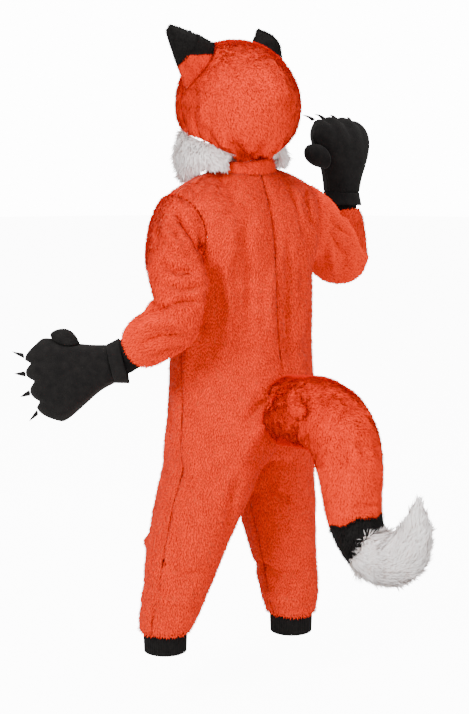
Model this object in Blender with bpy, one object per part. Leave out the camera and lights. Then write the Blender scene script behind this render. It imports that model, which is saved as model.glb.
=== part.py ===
"""A child's plush fox costume, filled out as it is worn: jumpsuit, hood with ears, tail and paw mitts.

Metres, +Z up. The wearer faces -Y and the wearer's left is +X.
The origin is the middle of the neck opening, where the shoulders hold the suit.
"""

import math
from collections import namedtuple

import bmesh
import bpy
from mathutils import Matrix, Vector
from mathutils.bvhtree import BVHTree
from mathutils.kdtree import KDTree

MM = 0.001

# Driving sizes
PLUSH = 3.0 * MM  # backing cloth and short pile
KNIT = 2.0 * MM  # rib knit of the cuffs
FLEECE = 2.4 * MM  # black cloth of the mitts
LONG_PILE = 9.0 * MM  # long white fur of the cheeks
SEAM_GAP = 0.3 * MM
UNDERARM_DROP = 0.165
CROTCH_DROP = 0.510
HEM_DROP = 0.812
HOOD_CENTRE = Vector((0.0, -0.006, 0.118))
HOOD_HALF = Vector((0.103, 0.121, 0.111))

# Grid counts: columns from a centre seam to a side seam, and rows down the panel
PANEL_COLUMNS = 10
YOKE_ROWS = 9
LEG_ROWS = 10
SLEEVE_AROUND = 2 * YOKE_ROWS
SLEEVE_ROWS = 16

Section = namedtuple("Section", "drop centre_x centre_y reach_x reach_back reach_front twist shift")
TORSO = [
    Section(0.165, 0.000, 0.000, 0.143, 0.094, 0.098, 0, 0.000),
    Section(0.240, 0.000, 0.000, 0.142, 0.097, 0.102, 1, 0.000),
    Section(0.330, 0.000, 0.002, 0.141, 0.104, 0.106, 3, 0.002),
    Section(0.400, 0.004, 0.004, 0.139, 0.123, 0.108, 5, 0.005),
    Section(0.450, 0.024, 0.002, 0.121, 0.120, 0.104, 6, 0.006),
    Section(0.480, 0.047, 0.000, 0.100, 0.110, 0.100, 7, 0.006),
    Section(0.510, 0.0720, 0.000, 0.0720, 0.102, 0.095, 8, 0.005),
]
LEFT_LEG = [
    Section(0.510, 0.0720, 0.000, 0.0720, 0.102, 0.095, 8, 0.005),
    Section(0.560, 0.0900, -0.010, 0.0760, 0.090, 0.088, 10, 0.002),
    Section(0.640, 0.1090, -0.030, 0.0680, 0.076, 0.078, 12, 0.000),
    Section(0.720, 0.1230, -0.050, 0.0600, 0.063, 0.064, 15, 0.000),
    Section(0.775, 0.1310, -0.064, 0.0540, 0.056, 0.057, 16, 0.000),
    Section(0.800, 0.1340, -0.070, 0.0520, 0.052, 0.053, 16, 0.000),
    Section(0.812, 0.1350, -0.072, 0.0455, 0.046, 0.047, 16, 0.000),
]
RIGHT_LEG = [
    Section(0.510, 0.0720, 0.000, 0.0720, 0.102, 0.095, 8, 0.005),
    Section(0.560, 0.0770, 0.004, 0.0710, 0.088, 0.086, 8, 0.003),
    Section(0.640, 0.0860, 0.013, 0.0640, 0.072, 0.074, 6, 0.000),
    Section(0.720, 0.0930, 0.021, 0.0570, 0.060, 0.062, 4, 0.000),
    Section(0.775, 0.0960, 0.027, 0.0530, 0.054, 0.056, 2, 0.000),
    Section(0.800, 0.0970, 0.030, 0.0510, 0.051, 0.052, 2, 0.000),
    Section(0.812, 0.0970, 0.031, 0.0450, 0.045, 0.046, 2, 0.000),
]

# The largest folds of the body. around is in degrees from the centre back, 180 at the centre front.
Fold = namedtuple("Fold", "side around drop to_around to_drop width depth")
BODY_FOLDS = [
    Fold(-1, 12, 0.22, 9, 0.37, 0.011, -0.0040),
    Fold(-1, 24, 0.18, 22, 0.37, 0.012, 0.0045),
    Fold(-1, 38, 0.12, 38, 0.36, 0.011, -0.0060),
    Fold(-1, 56, 0.14, 56, 0.38, 0.013, 0.0050),
    Fold(-1, 74, 0.22, 66, 0.38, 0.011, -0.0050),
    Fold(1, 18, 0.20, 14, 0.36, 0.013, 0.0040),
    Fold(1, 66, 0.26, 44, 0.42, 0.014, -0.0045),
    Fold(1, 84, 0.40, 82, 0.56, 0.010, -0.0050),
    Fold(1, 96, 0.40, 94, 0.60, 0.010, 0.0045),
    Fold(1, 128, 0.20, 142, 0.34, 0.013, -0.0055),
    Fold(-1, 126, 0.20, 140, 0.36, 0.013, -0.0055),
    Fold(1, 158, 0.22, 162, 0.40, 0.014, 0.0045),
    Fold(-1, 156, 0.24, 164, 0.40, 0.014, 0.0045),
    Fold(1, 40, 0.70, 120, 0.72, 0.012, -0.0040),
    Fold(-1, 20, 0.62, 80, 0.59, 0.014, 0.0050),
    Fold(-1, 60, 0.70, 140, 0.73, 0.013, -0.0045),
    Fold(1, 30, 0.50, 66, 0.47, 0.012, -0.0040),
]

# Sleeve rings: place along the arm, and radii towards the top, the underside and the back
Ring = namedtuple("Ring", "along x y z top under back")
LEFT_SLEEVE = [
    Ring(0.00, 0.150, 0.004, -0.100, 0.064, 0.064, 0.058),
    Ring(0.16, 0.167, 0.018, -0.112, 0.048, 0.046, 0.052),
    Ring(0.34, 0.181, 0.042, -0.142, 0.045, 0.040, 0.050),
    Ring(0.52, 0.185, 0.060, -0.186, 0.045, 0.041, 0.050),
    Ring(0.66, 0.187, 0.060, -0.222, 0.047, 0.044, 0.049),
    Ring(0.82, 0.203, 0.028, -0.260, 0.046, 0.045, 0.047),
    Ring(0.96, 0.216, -0.008, -0.285, 0.042, 0.042, 0.042),
    Ring(1.00, 0.219, -0.016, -0.290, 0.0365, 0.0365, 0.0365),
]
RIGHT_SLEEVE = [
    Ring(0.00, -0.150, 0.000, -0.098, 0.064, 0.064, 0.058),
    Ring(0.16, -0.184, -0.012, -0.114, 0.058, 0.056, 0.060),
    Ring(0.34, -0.226, -0.026, -0.140, 0.053, 0.052, 0.057),
    Ring(0.54, -0.272, -0.046, -0.174, 0.040, 0.051, 0.053),
    Ring(0.68, -0.303, -0.062, -0.174, 0.035, 0.051, 0.051),
    Ring(0.82, -0.311, -0.072, -0.138, 0.040, 0.047, 0.047),
    Ring(0.96, -0.313, -0.077, -0.102, 0.042, 0.042, 0.042),
    Ring(1.00, -0.313, -0.078, -0.094, 0.0365, 0.0365, 0.0365),
]
SleeveFold = namedtuple("SleeveFold", "around along to_around to_along width depth")
LEFT_SLEEVE_FOLDS = [
    SleeveFold(60, 0.14, 120, 0.34, 0.010, -0.0060),
    SleeveFold(20, 0.36, 110, 0.44, 0.010, -0.0055),
    SleeveFold(10, 0.46, 120, 0.53, 0.009, 0.0045),
    SleeveFold(30, 0.58, 130, 0.60, 0.008, -0.0060),
    SleeveFold(20, 0.68, 110, 0.70, 0.009, -0.0060),
    SleeveFold(40, 0.78, 140, 0.76, 0.009, 0.0045),
    SleeveFold(30, 0.83, 110, 0.87, 0.008, -0.0060),
    SleeveFold(230, 0.54, 320, 0.52, 0.010, -0.0060),
    SleeveFold(230, 0.66, 330, 0.62, 0.009, -0.0060),
    SleeveFold(240, 0.80, 330, 0.82, 0.009, -0.0055),
]
RIGHT_SLEEVE_FOLDS = [
    SleeveFold(110, 0.30, 150, 0.56, 0.010, -0.0060),
    SleeveFold(70, 0.36, 100, 0.62, 0.010, -0.0060),
    SleeveFold(80, 0.66, 160, 0.60, 0.009, 0.0045),
    SleeveFold(60, 0.74, 150, 0.70, 0.009, -0.0060),
    SleeveFold(40, 0.86, 130, 0.84, 0.009, -0.0055),
    SleeveFold(220, 0.56, 320, 0.54, 0.010, -0.0060),
    SleeveFold(230, 0.70, 320, 0.66, 0.009, -0.0060),
    SleeveFold(240, 0.84, 320, 0.86, 0.009, -0.0055),
]

# The tail's middle line and radii. It lies in the plane of symmetry.
TailRing = namedtuple("TailRing", "along y z across up")
TAIL = [
    TailRing(0.00, 0.1320, -0.408, 0.056, 0.058),
    TailRing(0.10, 0.176, -0.402, 0.060, 0.061),
    TailRing(0.22, 0.222, -0.402, 0.060, 0.061),
    TailRing(0.34, 0.260, -0.424, 0.059, 0.060),
    TailRing(0.46, 0.281, -0.468, 0.056, 0.057),
    TailRing(0.58, 0.288, -0.520, 0.050, 0.051),
    TailRing(0.68, 0.298, -0.566, 0.045, 0.046),
    TailRing(0.76, 0.322, -0.604, 0.042, 0.043),
    TailRing(0.83, 0.366, -0.620, 0.041, 0.042),
    TailRing(0.90, 0.414, -0.602, 0.036, 0.038),
    TailRing(0.96, 0.440, -0.556, 0.024, 0.025),
    TailRing(1.00, 0.442, -0.508, 0.002, 0.002),
]
TAIL_AROUND = 20
TAIL_BAND_START = 0.685
TAIL_BAND_END = 0.790
TAIL_TEETH = 5
TOOTH = 0.010
TAIL_LIFT = 2.8 * MM

# The neckline: its share of a panel's top edge, and its half widths
NECK_SHARE = 0.4
NECK_SIDE = 0.062
NECK_BACK = 0.054
NECK_FRONT = 0.062

# The rows of a body panel from the underarm to the crotch
TORSO_PLACES = (1.13, 1.26, 1.40, 1.54, 1.68, 1.80, 1.89, 1.95, 1.985, 2.0)

# The cheek fur's lower edge: degrees from the centre back, distance out and height
CheekEdge = namedtuple("CheekEdge", "share turn out z")
CHEEK_EDGE = [
    CheekEdge(0.00, 62, 0.074, 0.012),
    CheekEdge(0.25, 90, 0.089, 0.010),
    CheekEdge(0.50, 118, 0.099, -0.006),
    CheekEdge(0.75, 144, 0.105, -0.015),
    CheekEdge(1.00, 168, 0.104, -0.010),
]

# The ears: their tips, and how far each one is bent up
Ear = namedtuple("Ear", "side tip lean")
EARS = [
    Ear(1, Vector((0.120, -0.052, 0.245)), -0.002),
    Ear(-1, Vector((-0.098, -0.070, 0.216)), 0.018),
]
EAR_TIP_START = 0.36

COLLAR_HEIGHT = 0.021
COLLAR_WALL = 3.5 * MM
COLLAR_LAP = 1 / 8

# Paw mitts: half widths from the wrist to the toes, on the little-finger side and the thumb side
Palm = namedtuple("Palm", "along low high puff")
MITT = [
    Palm(0.00, 0.034, 0.034, 0.030),
    Palm(0.20, 0.040, 0.040, 0.031),
    Palm(0.45, 0.059, 0.052, 0.032),
    Palm(0.70, 0.075, 0.066, 0.032),
    Palm(0.90, 0.079, 0.069, 0.029),
    Palm(1.00, 0.072, 0.062, 0.026),
]
MITT_LENGTH = 0.130
TOE_LENGTH = 0.018
MITT_COLUMNS = 16
THUMB_RADIUS = 0.019
THUMB_PLACE = 0.50
CLAW_LENGTH = 0.022
CLAW_RADIUS = 0.0050

# A mitt's place: the wrist, the way the fingers point, the way the thumb points, and how far the hand curls
MittPlace = namedtuple("MittPlace", "side wrist fingers thumb curl thumb_length")
MITTS = [
    MittPlace(
        side=1,
        wrist=Vector((0.249, -0.0525, -0.321)),
        fingers=Vector((0.771, -0.596, -0.223)),
        thumb=Vector((0.0, -0.1, 1.0)),
        curl=0.3,
        thumb_length=0.024,
    ),
    MittPlace(
        side=-1,
        wrist=Vector((-0.320, -0.083, -0.058)),
        fingers=Vector((-0.06, -0.02, 1.0)),
        thumb=Vector((1.0, 0.05, 0.05)),
        curl=1.0,
        thumb_length=0.043,
    ),
]

ORANGE = (0.90, 0.075, 0.020)
BLACK = (0.012, 0.011, 0.011)
WHITE = (0.86, 0.82, 0.80)
PALE_PINK = (0.80, 0.66, 0.62)


def clear_scene():
    for obj in list(bpy.data.objects):
        bpy.data.objects.remove(obj)


def make_material(name, colour, roughness):
    material = bpy.data.materials.new(name)
    material.use_nodes = True
    shader = material.node_tree.nodes["Principled BSDF"]
    shader.inputs["Base Color"].default_value = (*colour, 1.0)
    shader.inputs["Roughness"].default_value = roughness
    shader.inputs["Metallic"].default_value = 0.0
    material.diffuse_color = (*colour, 1.0)
    return material


def smooth_step(value):
    value = min(max(value, 0.0), 1.0)
    return value * value * (3 - 2 * value)


def read_table(rows, key):
    """A row of the table between its rows, on a smooth curve through them. The first column is the key."""
    last = len(rows) - 1
    key = min(max(key, rows[0][0]), rows[last][0])
    i = max(k for k in range(last) if rows[k][0] <= key)
    before, start, end, after = (rows[k] for k in (max(i - 1, 0), i, i + 1, min(i + 2, last)))
    span = end[0] - start[0]
    t = (key - start[0]) / span
    values = []
    for a, b, c, d in zip(before, start, end, after):
        slope_b = (c - a) / (end[0] - before[0]) * span
        slope_c = (d - b) / (after[0] - start[0]) * span
        values.append(
            (2 * t**3 - 3 * t**2 + 1) * b
            + (t**3 - 2 * t**2 + t) * slope_b
            + (3 * t**2 - 2 * t**3) * c
            + (t**3 - t**2) * slope_c
        )
    return type(start)(*values)


def fold_height(across, along, start, end, width, depth):
    """The height of a soft ridge, or depth of a trough, at a point of the cloth laid out flat."""
    point = Vector((across, along))
    a, b = Vector(start), Vector(end)
    run = b - a
    t = min(max((point - a).dot(run) / run.length_squared, 0.0), 1.0)
    away = (point - a - run * t).length / width
    fade = smooth_step(4 * t) * smooth_step(4 * (1 - t)) * 0.7 + 0.3
    return depth * fade * math.exp(-away * away)


def normal_of(surface, u, v):
    """The direction across u and v, from small steps on the surface."""
    h = 1e-3
    along_u = surface(u + h, v) - surface(u - h, v)
    along_v = surface(u, v + h) - surface(u, v - h)
    return along_u.cross(along_v).normalized()


def move_rim(points, gap, us, vs):
    """Draws the edges of a grid of points back from its neighbours' edges, along the cloth."""
    columns, rows = len(us) - 1, len(vs) - 1
    moved = {key: point.copy() for key, point in points.items()}
    for (i, j), point in points.items():
        for side, here, step in (
            ("u0", i == 0, (1, 0)),
            ("u1", i == columns, (-1, 0)),
            ("v0", j == 0, (0, 1)),
            ("v1", j == rows, (0, -1)),
        ):
            size = gap.get(side, 0.0)
            if callable(size):
                size = size(us[i], vs[j])
            if here and size:
                moved[i, j] += (points[i + step[0], j + step[1]] - point).normalized() * size
    return moved


def make_cloth(
    name, surface, us, vs, thickness, material, outward=1, gap=None, edge_normal=None, inner=None, lift=0
):
    """A cloth wall. The surface is its outer face and the inner face lies one thickness inside it.

    us and vs are the places of the grid's columns and rows. A tube's last column is its first one again.
    """
    outer_points, inner_points = {}, {}
    for i, u in enumerate(us):
        for j, v in enumerate(vs):
            normal = edge_normal(u, v) if edge_normal else None
            if normal is None and not (inner and lift == 0):
                normal = normal_of(surface, u, v) * outward
            outer_points[i, j] = surface(u, v) + (normal * lift if lift else Vector())
            inner_points[i, j] = inner(u, v) if inner else outer_points[i, j] - normal * thickness
    if gap:
        outer_points = move_rim(outer_points, gap, us, vs)
        inner_points = move_rim(inner_points, gap, us, vs)
    bm = bmesh.new()
    grid_of(bm, outer_points, len(us) - 1, len(vs) - 1, outward > 0)
    grid_of(bm, inner_points, len(us) - 1, len(vs) - 1, outward < 0)
    bmesh.ops.remove_doubles(bm, verts=bm.verts[:], dist=1e-6)
    bridge_rims(bm, outer_points, inner_points, len(us) - 1, len(vs) - 1)
    return finish_piece(name, bm, material)


def grid_of(bm, points, columns, rows, forward):
    """Adds a grid whose vertices are these points."""
    made = bmesh.ops.create_grid(bm, x_segments=columns, y_segments=rows, size=0.5)
    for vert in made["verts"]:
        key = (round((vert.co.x + 0.5) * columns), round((vert.co.y + 0.5) * rows))
        vert.co = points[key]
    if not forward:
        faces = {face for vert in made["verts"] for face in vert.link_faces}
        bmesh.ops.reverse_faces(bm, faces=list(faces))


def bridge_rims(bm, outer_points, inner_points, columns, rows):
    """Joins the outer and the inner face along each open edge of the cloth."""
    open_edges = [edge for edge in bm.edges if edge.is_boundary]
    if not open_edges:
        return
    tree = KDTree(2 * len(outer_points))
    for k, (key, point) in enumerate(outer_points.items()):
        tree.insert(point, 2 * k)
        tree.insert(inner_points[key], 2 * k + 1)
    tree.balance()
    order = list(outer_points)
    loops = edge_loops(open_edges)
    inner_loops = [loop for loop in loops if all(tree.find(vert.co)[1] % 2 for vert in loop[0].verts)]
    for loop in loops:
        if any(tree.find(vert.co)[1] % 2 for vert in loop[0].verts):
            continue
        wanted = {order[tree.find(vert.co)[1] // 2] for edge in loop for vert in edge.verts}
        partner = min(
            inner_loops,
            key=lambda other: min((inner_points[key] - other[0].verts[0].co).length for key in wanted),
        )
        bmesh.ops.bridge_loops(bm, edges=loop + partner)


def finish_piece(name, bm, material):
    bmesh.ops.recalc_face_normals(bm, faces=bm.faces[:])
    mesh = bpy.data.meshes.new(name)
    bm.to_mesh(mesh)
    bm.free()
    mesh.materials.append(material)
    mesh.shade_smooth()
    obj = bpy.data.objects.new(name, mesh)
    collection.objects.link(obj)
    return obj


def edge_loops(edges):
    """The separate runs of joined edges among these."""
    left = set(edges)
    loops = []
    while left:
        loop = {left.pop()}
        front = list(loop)
        while front:
            edge = front.pop()
            near = {other for vert in edge.verts for other in vert.link_edges if other in left}
            left -= near
            loop |= near
            front.extend(near)
        loops.append(sorted(loop, key=lambda e: e.index))
    return loops


def spread(start, end, count):
    """count + 1 places from start to end."""
    return [start + (end - start) * k / count for k in range(count + 1)]


def body_fold(side, around, drop):
    across = math.radians(around) * 0.125
    height = 0.0
    for fold in BODY_FOLDS:
        if fold.side == side:
            start = (math.radians(fold.around) * 0.125, fold.drop)
            end = (math.radians(fold.to_around) * 0.125, fold.to_drop)
            height += fold_height(across, drop, start, end, fold.width, fold.depth)
    return height


def section_point(side, face, u, drop):
    """A point of the body below the underarm. u runs from the centre seam or inseam to the side seam."""
    legs = LEFT_LEG if side > 0 else RIGHT_LEG
    row = read_table(TORSO if drop <= CROTCH_DROP else legs, drop)
    begin = math.acos(max(-row.centre_x / row.reach_x, -1.0))
    angle = begin * (1 - u)
    around = 90 * u if face > 0 else 180 - 90 * u
    under_arm = 1 - smooth_step((drop - UNDERARM_DROP) / 0.06)
    ease = smooth_step(5 * abs(u)) * smooth_step((HEM_DROP - drop) / 0.03)
    ease *= 1 - (1 - smooth_step(5 - 5 * u)) * under_arm
    swell = body_fold(side, around, drop) * ease
    reach_y = row.reach_back if face > 0 else row.reach_front
    x = row.centre_x + (row.reach_x + swell) * math.cos(angle) + SEAM_GAP / 2
    y = row.centre_y + face * (reach_y + swell) * math.sin(angle)
    turned = Matrix.Rotation(math.radians(row.twist), 2) @ Vector((side * x, y))
    return Vector((turned.x + row.shift, turned.y, -drop))


def armhole_point(side, turn):
    """The armhole seam. turn is 0 at the shoulder tip, 90 at the back and 180 at the underarm."""
    angle = math.radians(turn)
    bottom = section_point(side, 1, 1.0, UNDERARM_DROP)
    top = Vector((side * 0.150, 0.0, -0.030))
    middle = (top + bottom) / 2
    inset = -side * 0.018 * math.sin(angle) ** 2
    return middle + (top - middle) * math.cos(angle) + Vector((inset, 0.064 * math.sin(angle), 0.0))


def armhole_normal(side, turn):
    """The way the cloth's thickness runs at the armhole seam, the same for the body and the sleeve."""
    angle = math.radians(turn)
    return Vector((side * 0.8, math.sin(angle), math.cos(angle))).normalized()


def neckline(side, face, quarter):
    """quarter is 0 at the centre seam and 1 at the shoulder."""
    angle = math.radians(90) * (1 - quarter)
    reach = NECK_BACK if face > 0 else NECK_FRONT
    z = 0.006 * (1 - math.sin(angle)) - (0.012 * math.sin(angle) if face < 0 else 0.0)
    return Vector((side * (NECK_SIDE * math.cos(angle) + SEAM_GAP / 2), face * reach * math.sin(angle), z))


def panel_top(side, face, u):
    """The top edge of a body panel: half the neckline, then the shoulder seam."""
    if u <= NECK_SHARE:
        return neckline(side, face, u / NECK_SHARE)
    t = (u - NECK_SHARE) / (1 - NECK_SHARE)
    rise = Vector((0.0, 0.0, 0.006 * math.sin(math.pi * t)))
    return neckline(side, face, 1).lerp(armhole_point(side, 0), t) + rise


def yoke_point(side, face, u, v):
    """The panel above the underarm, filled in between its neck, armhole, centre and underarm edges."""
    top, bottom = panel_top(side, face, u), section_point(side, face, u, UNDERARM_DROP)
    neck, tip = panel_top(side, face, 0), panel_top(side, face, 1)
    low, under = section_point(side, face, 0, UNDERARM_DROP), section_point(side, face, 1, UNDERARM_DROP)
    ease = 1 - (1 - v) ** 2
    centre = neck.lerp(low, v)
    centre.y = neck.y + (low.y - neck.y) * ease
    arm = armhole_point(side, 180 * v if face > 0 else 360 - 180 * v)
    corners = neck.lerp(tip, u).lerp(low.lerp(under, u), v)
    swell = 0.012 * math.sin(math.pi * u) * math.sin(math.pi * v)
    fold = body_fold(side, 90 * u if face > 0 else 180 - 90 * u, UNDERARM_DROP * v)
    swell += fold * (1 - v) * smooth_step(3 * v) * smooth_step(5 * u) * smooth_step(5 - 5 * u)
    return top.lerp(bottom, v) + centre.lerp(arm, u) - corners + Vector((0.0, face * swell, 0.0))


def panel_point(side, face, u, v):
    """v is 0 to 1 over the yoke, 1 to 2 down to the crotch and 2 to 3 down to the hem."""
    if v <= 1:
        return yoke_point(side, face, u, v)
    if v <= 2:
        return section_point(side, face, u, UNDERARM_DROP + (CROTCH_DROP - UNDERARM_DROP) * (v - 1))
    return section_point(side, face, u, CROTCH_DROP + (HEM_DROP - CROTCH_DROP) * (v - 2))


def panel_normal(side, face, u, v):
    """The outward way at a point of a panel, shared with the piece on the other side of each seam."""
    if v == 2 and u == 0:
        return Vector((-side * 0.6, 0.0, -0.8))
    if u == 1 and v <= 1:
        return armhole_normal(side, 180 * v if face > 0 else 360 - 180 * v)
    if v == 0 and u >= NECK_SHARE - 1e-6:
        return Vector((side * 0.28, 0.0, 1.0)).normalized()
    at_centre = u == 0 and v < 2
    normal = normal_of(lambda a, b: panel_point(side, face, a, b), 0.012 if at_centre else u, v)
    normal *= side * face
    if at_centre:
        drop = UNDERARM_DROP + (CROTCH_DROP - UNDERARM_DROP) * (v - 1)
        twist = math.radians(read_table(TORSO, drop).twist if v > 1 else 0.0)
        across = Vector((math.cos(twist), math.sin(twist), 0.0)) * side
        normal = (normal - across * max(normal.dot(across), 0.0)).normalized()
    return normal


def make_panel(name, side, face):
    """One of the four body panels, from the shoulder to the ankle."""
    rows = spread(0, 1, YOKE_ROWS) + list(TORSO_PLACES) + spread(2, 3, LEG_ROWS)[1:]

    def surface(u, v):
        return panel_point(side, face, u, v)

    def edge_normal(u, v):
        return panel_normal(side, face, u, v)

    gap = {
        "u0": lambda u, v: 0.0 if v < 2 else (SEAM_GAP if v < 2.25 else SEAM_GAP / 2),
        "u1": SEAM_GAP / 2,
        "v0": lambda u, v: SEAM_GAP / 2 if u >= NECK_SHARE - 1e-6 else 0.0,
    }
    return make_cloth(
        name, surface, spread(0, 1, PANEL_COLUMNS), rows, PLUSH, orange,
        outward=side * face, gap=gap, edge_normal=edge_normal,
    )


def path_frames(rows, first_up, steps=60):
    """Places along a table's path with their forward, upward and sideways directions, without twisting."""
    frames = []
    up = Vector(first_up)
    for k in range(steps + 1):
        at = k / steps
        ahead, behind = read_table(rows, min(at + 0.004, 1)), read_table(rows, max(at - 0.004, 0))
        tangent = Vector((ahead.x - behind.x, ahead.y - behind.y, ahead.z - behind.z)).normalized()
        up = (up - tangent * up.dot(tangent)).normalized()
        row = read_table(rows, at)
        frames.append((Vector((row.x, row.y, row.z)), tangent, up, tangent.cross(up)))
    return frames


def frame_at(frames, at):
    """The frame at a place from 0 to 1, carried straight on beyond the ends."""
    place = min(max(at, 0.0), 1.0) * (len(frames) - 1)
    k = min(int(place), len(frames) - 2)
    t = place - k
    first, second = frames[k], frames[k + 1]
    mixed = [a.lerp(b, t) for a, b in zip(first, second)]
    beyond = at - min(max(at, 0.0), 1.0)
    return mixed[0] + mixed[1] * beyond * 0.3, *(part.normalized() for part in mixed[1:])


def sleeve_surface(rows, folds, side):
    """u goes once round the sleeve from its top by the back, and v from the armhole to the hem."""
    frames = path_frames(rows, (side * 0.35, 0.0, 0.9))
    length = 0.34

    def surface(u, v):
        row = read_table(rows, v)
        place, _, up, sideways = frame_at(frames, v)
        back = sideways if frames[0][3].y > 0 else -sideways
        turn = math.tau * u
        height = 0.0
        for fold in folds:
            start = (fold.around / 360 * 0.34, fold.along * length)
            end = (fold.to_around / 360 * 0.34, fold.to_along * length)
            height += fold_height((u % 1.0) * 0.34, v * length, start, end, fold.width, fold.depth)
        height *= smooth_step(8 * v - 0.4) * smooth_step(12 * (1 - v))
        rise = row.top if math.cos(turn) > 0 else row.under
        ring = place + up * (rise + height) * math.cos(turn) + back * (row.back + height) * math.sin(turn)
        share = smooth_step(v / 0.34)
        if v < 0.34:
            start = armhole_point(side, 360 * u) + Vector((side * 0.06 * v, 0.0, 0.0))
            ring = start.lerp(ring, share)
        return ring

    return surface


def make_sleeve(name, rows, folds, side):
    surface = sleeve_surface(rows, folds, side)

    def edge_normal(u, v):
        return armhole_normal(side, 360 * u) if v == 0 else None

    vs = [k / SLEEVE_ROWS for k in range(SLEEVE_ROWS + 1)]
    return make_cloth(
        name, surface, spread(0, 1, SLEEVE_AROUND), vs, PLUSH, orange,
        outward=-side, gap={"v0": SEAM_GAP}, edge_normal=edge_normal,
    )


def make_cuff(name, path, radius, flare, ribs):
    """A rib knit cuff: a short ribbed tube. The path is its first point and way, then its last ones."""
    first, first_way, last, last_way = path
    reach = (last - first).length

    def middle(v):
        a, b, c, d = first, first + first_way * reach * 0.30, last - last_way * reach * 0.55, last
        return a * (1 - v) ** 3 + b * 3 * v * (1 - v) ** 2 + c * 3 * v * v * (1 - v) + d * v**3

    def ring(u, v, size):
        axis = (middle(min(v + 0.01, 1)) - middle(max(v - 0.01, 0))).normalized()
        across = (first_way.orthogonal() - axis * first_way.orthogonal().dot(axis)).normalized()
        turn = math.tau * u
        return middle(v) + (across * math.cos(turn) + axis.cross(across) * math.sin(turn)) * size

    def surface(u, v):
        rib = 0.0 if round(u * 2 * ribs) % 2 else 0.8 * MM
        return ring(u, v, radius + flare * v + rib - 0.8 * MM)

    def inner(u, v):
        return ring(u, v, radius + flare * v - KNIT)

    return make_cloth(name, surface, spread(0, 1, 2 * ribs), spread(0, 1, 2), KNIT, black_knit, inner=inner)


def make_wrist_cuff(name, rows, place):
    """The wrist cuff, from inside the sleeve's hem to inside the mitt's."""
    end, before = rows[-1], rows[-2]
    middle = Vector((end.x, end.y, end.z))
    way = (middle - Vector((before.x, before.y, before.z))).normalized()
    fingers = place.fingers.normalized()
    path = (middle - way * 0.010, way, place.wrist - fingers * 0.004, fingers)
    return make_cuff(name, path, 0.0300, 0.0, 14)


def make_ankle_cuff(name, side):
    points = [section_point(side, face, u, HEM_DROP) for face in (1, -1) for u in (0.0, 0.5, 1.0)]
    middle = (points[0] + points[2] + points[3] + points[5]) / 4
    down = Vector((0.0, 0.0, -1.0))
    top = middle - down * 0.012
    return make_cuff(name, (top, down, middle + down * 0.042, down), 0.0405, -0.002, 16)


def make_collar(name):
    """The standing collar, one end lapped over the other at the centre back."""
    first, last = -COLLAR_LAP / 2, 1 + COLLAR_LAP / 2

    def ring(u, v, inward):
        turn = math.tau * u
        side = 1 if math.sin(turn) >= 0 else -1
        face = 1 if math.cos(turn) >= 0 else -1
        quarter = math.asin(min(abs(math.sin(turn)), 1.0)) / (math.pi / 2)
        base = neckline(side, face, quarter)
        base.x = NECK_SIDE * math.sin(turn)
        way = Vector((base.x / NECK_SIDE, base.y / 0.058, 0.0)).normalized()
        lap = smooth_step((u - 0.80) / 0.14) * (COLLAR_WALL + SEAM_GAP)
        out = lap - inward - 0.003 * v
        height = COLLAR_HEIGHT * (1 - 0.45 * smooth_step((abs(math.sin(turn / 2)) - 0.17) / 0.45))
        return base + way * out + Vector((0.0, 0.0, 1.2 * MM + height * v))

    def surface(u, v):
        return ring(u, v, 0.0)

    def inner(u, v):
        return ring(u, v, COLLAR_WALL)

    columns = spread(first, last, 18)
    return make_cloth(name, surface, columns, spread(0, 1, 3), COLLAR_WALL, orange, inner=inner)


def make_placket(name):
    """The underlap inside the centre-back opening, from the neck to above the tail."""

    def layer(u, v, depth):
        side = 1 if u >= 0 else -1
        share = abs(u) / PANEL_COLUMNS
        point = panel_point(side, 1, share, v) - panel_normal(side, 1, share, v) * depth
        if u == 0:
            other = panel_point(-1, 1, 0.0, v) - panel_normal(-1, 1, 0.0, v) * depth
            point = (point + other) / 2
        return point

    def surface(u, v):
        return layer(u, v, PLUSH + 2.4 * MM)

    def inner(u, v):
        return layer(u, v, PLUSH + 4.4 * MM)

    vs = spread(0, 1, YOKE_ROWS)[1:] + [v for v in TORSO_PLACES if v < 1.5]
    return make_cloth(name, surface, (-1, 0, 1), vs, 2.0 * MM, orange, inner=inner)


def hood_point(way):
    """The hood's outer face in a direction from its middle, drawn in round the neck."""
    way = way.normalized()
    point = HOOD_CENTRE + Vector((way.x * HOOD_HALF.x, way.y * HOOD_HALF.y, way.z * HOOD_HALF.z))
    pinch = 1 - 0.23 * smooth_step((0.056 - point.z) / 0.030)
    point.x *= pinch
    point.y *= pinch
    return point


def hood_normal(way):
    """The outward way of the hood's cloth in a direction from its middle."""
    across = way.orthogonal().normalized() * 0.02
    along = way.cross(across)
    first = hood_point(way + across) - hood_point(way - across)
    second = hood_point(way + along) - hood_point(way - along)
    normal = first.cross(second).normalized()
    return normal if normal.dot(way) > 0 else -normal


def slerp(first, last, t):
    """The direction a share of the way from one direction to another, on the great circle."""
    angle = first.angle(last)
    if angle < 1e-5:
        return first.copy()
    return (first * math.sin((1 - t) * angle) + last * math.sin(t * angle)) / math.sin(angle)


def way_of(x, y, z):
    """The direction whose point on the plain ellipsoid lies at these coordinates' own direction."""
    return Vector((x / HOOD_HALF.x, y / HOOD_HALF.y, z / HOOD_HALF.z)).normalized()


def front_seam(u):
    """The seam between the crown and the face band, over the top from the left side to the right."""
    turn = math.radians(121) * (1 - 2 * u)
    lean = -0.030 + 0.016 * math.cos(2 * turn) * math.sin(abs(turn))
    return way_of(0.100 * math.sin(turn), lean, 0.108 * math.cos(turn))


def face_edge(u):
    """The edge of the face opening."""
    turn = math.radians(124) * (1 - 2 * u)
    return way_of(0.080 * math.sin(turn), -0.082, 0.086 * math.cos(turn) + 0.004)


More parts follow.
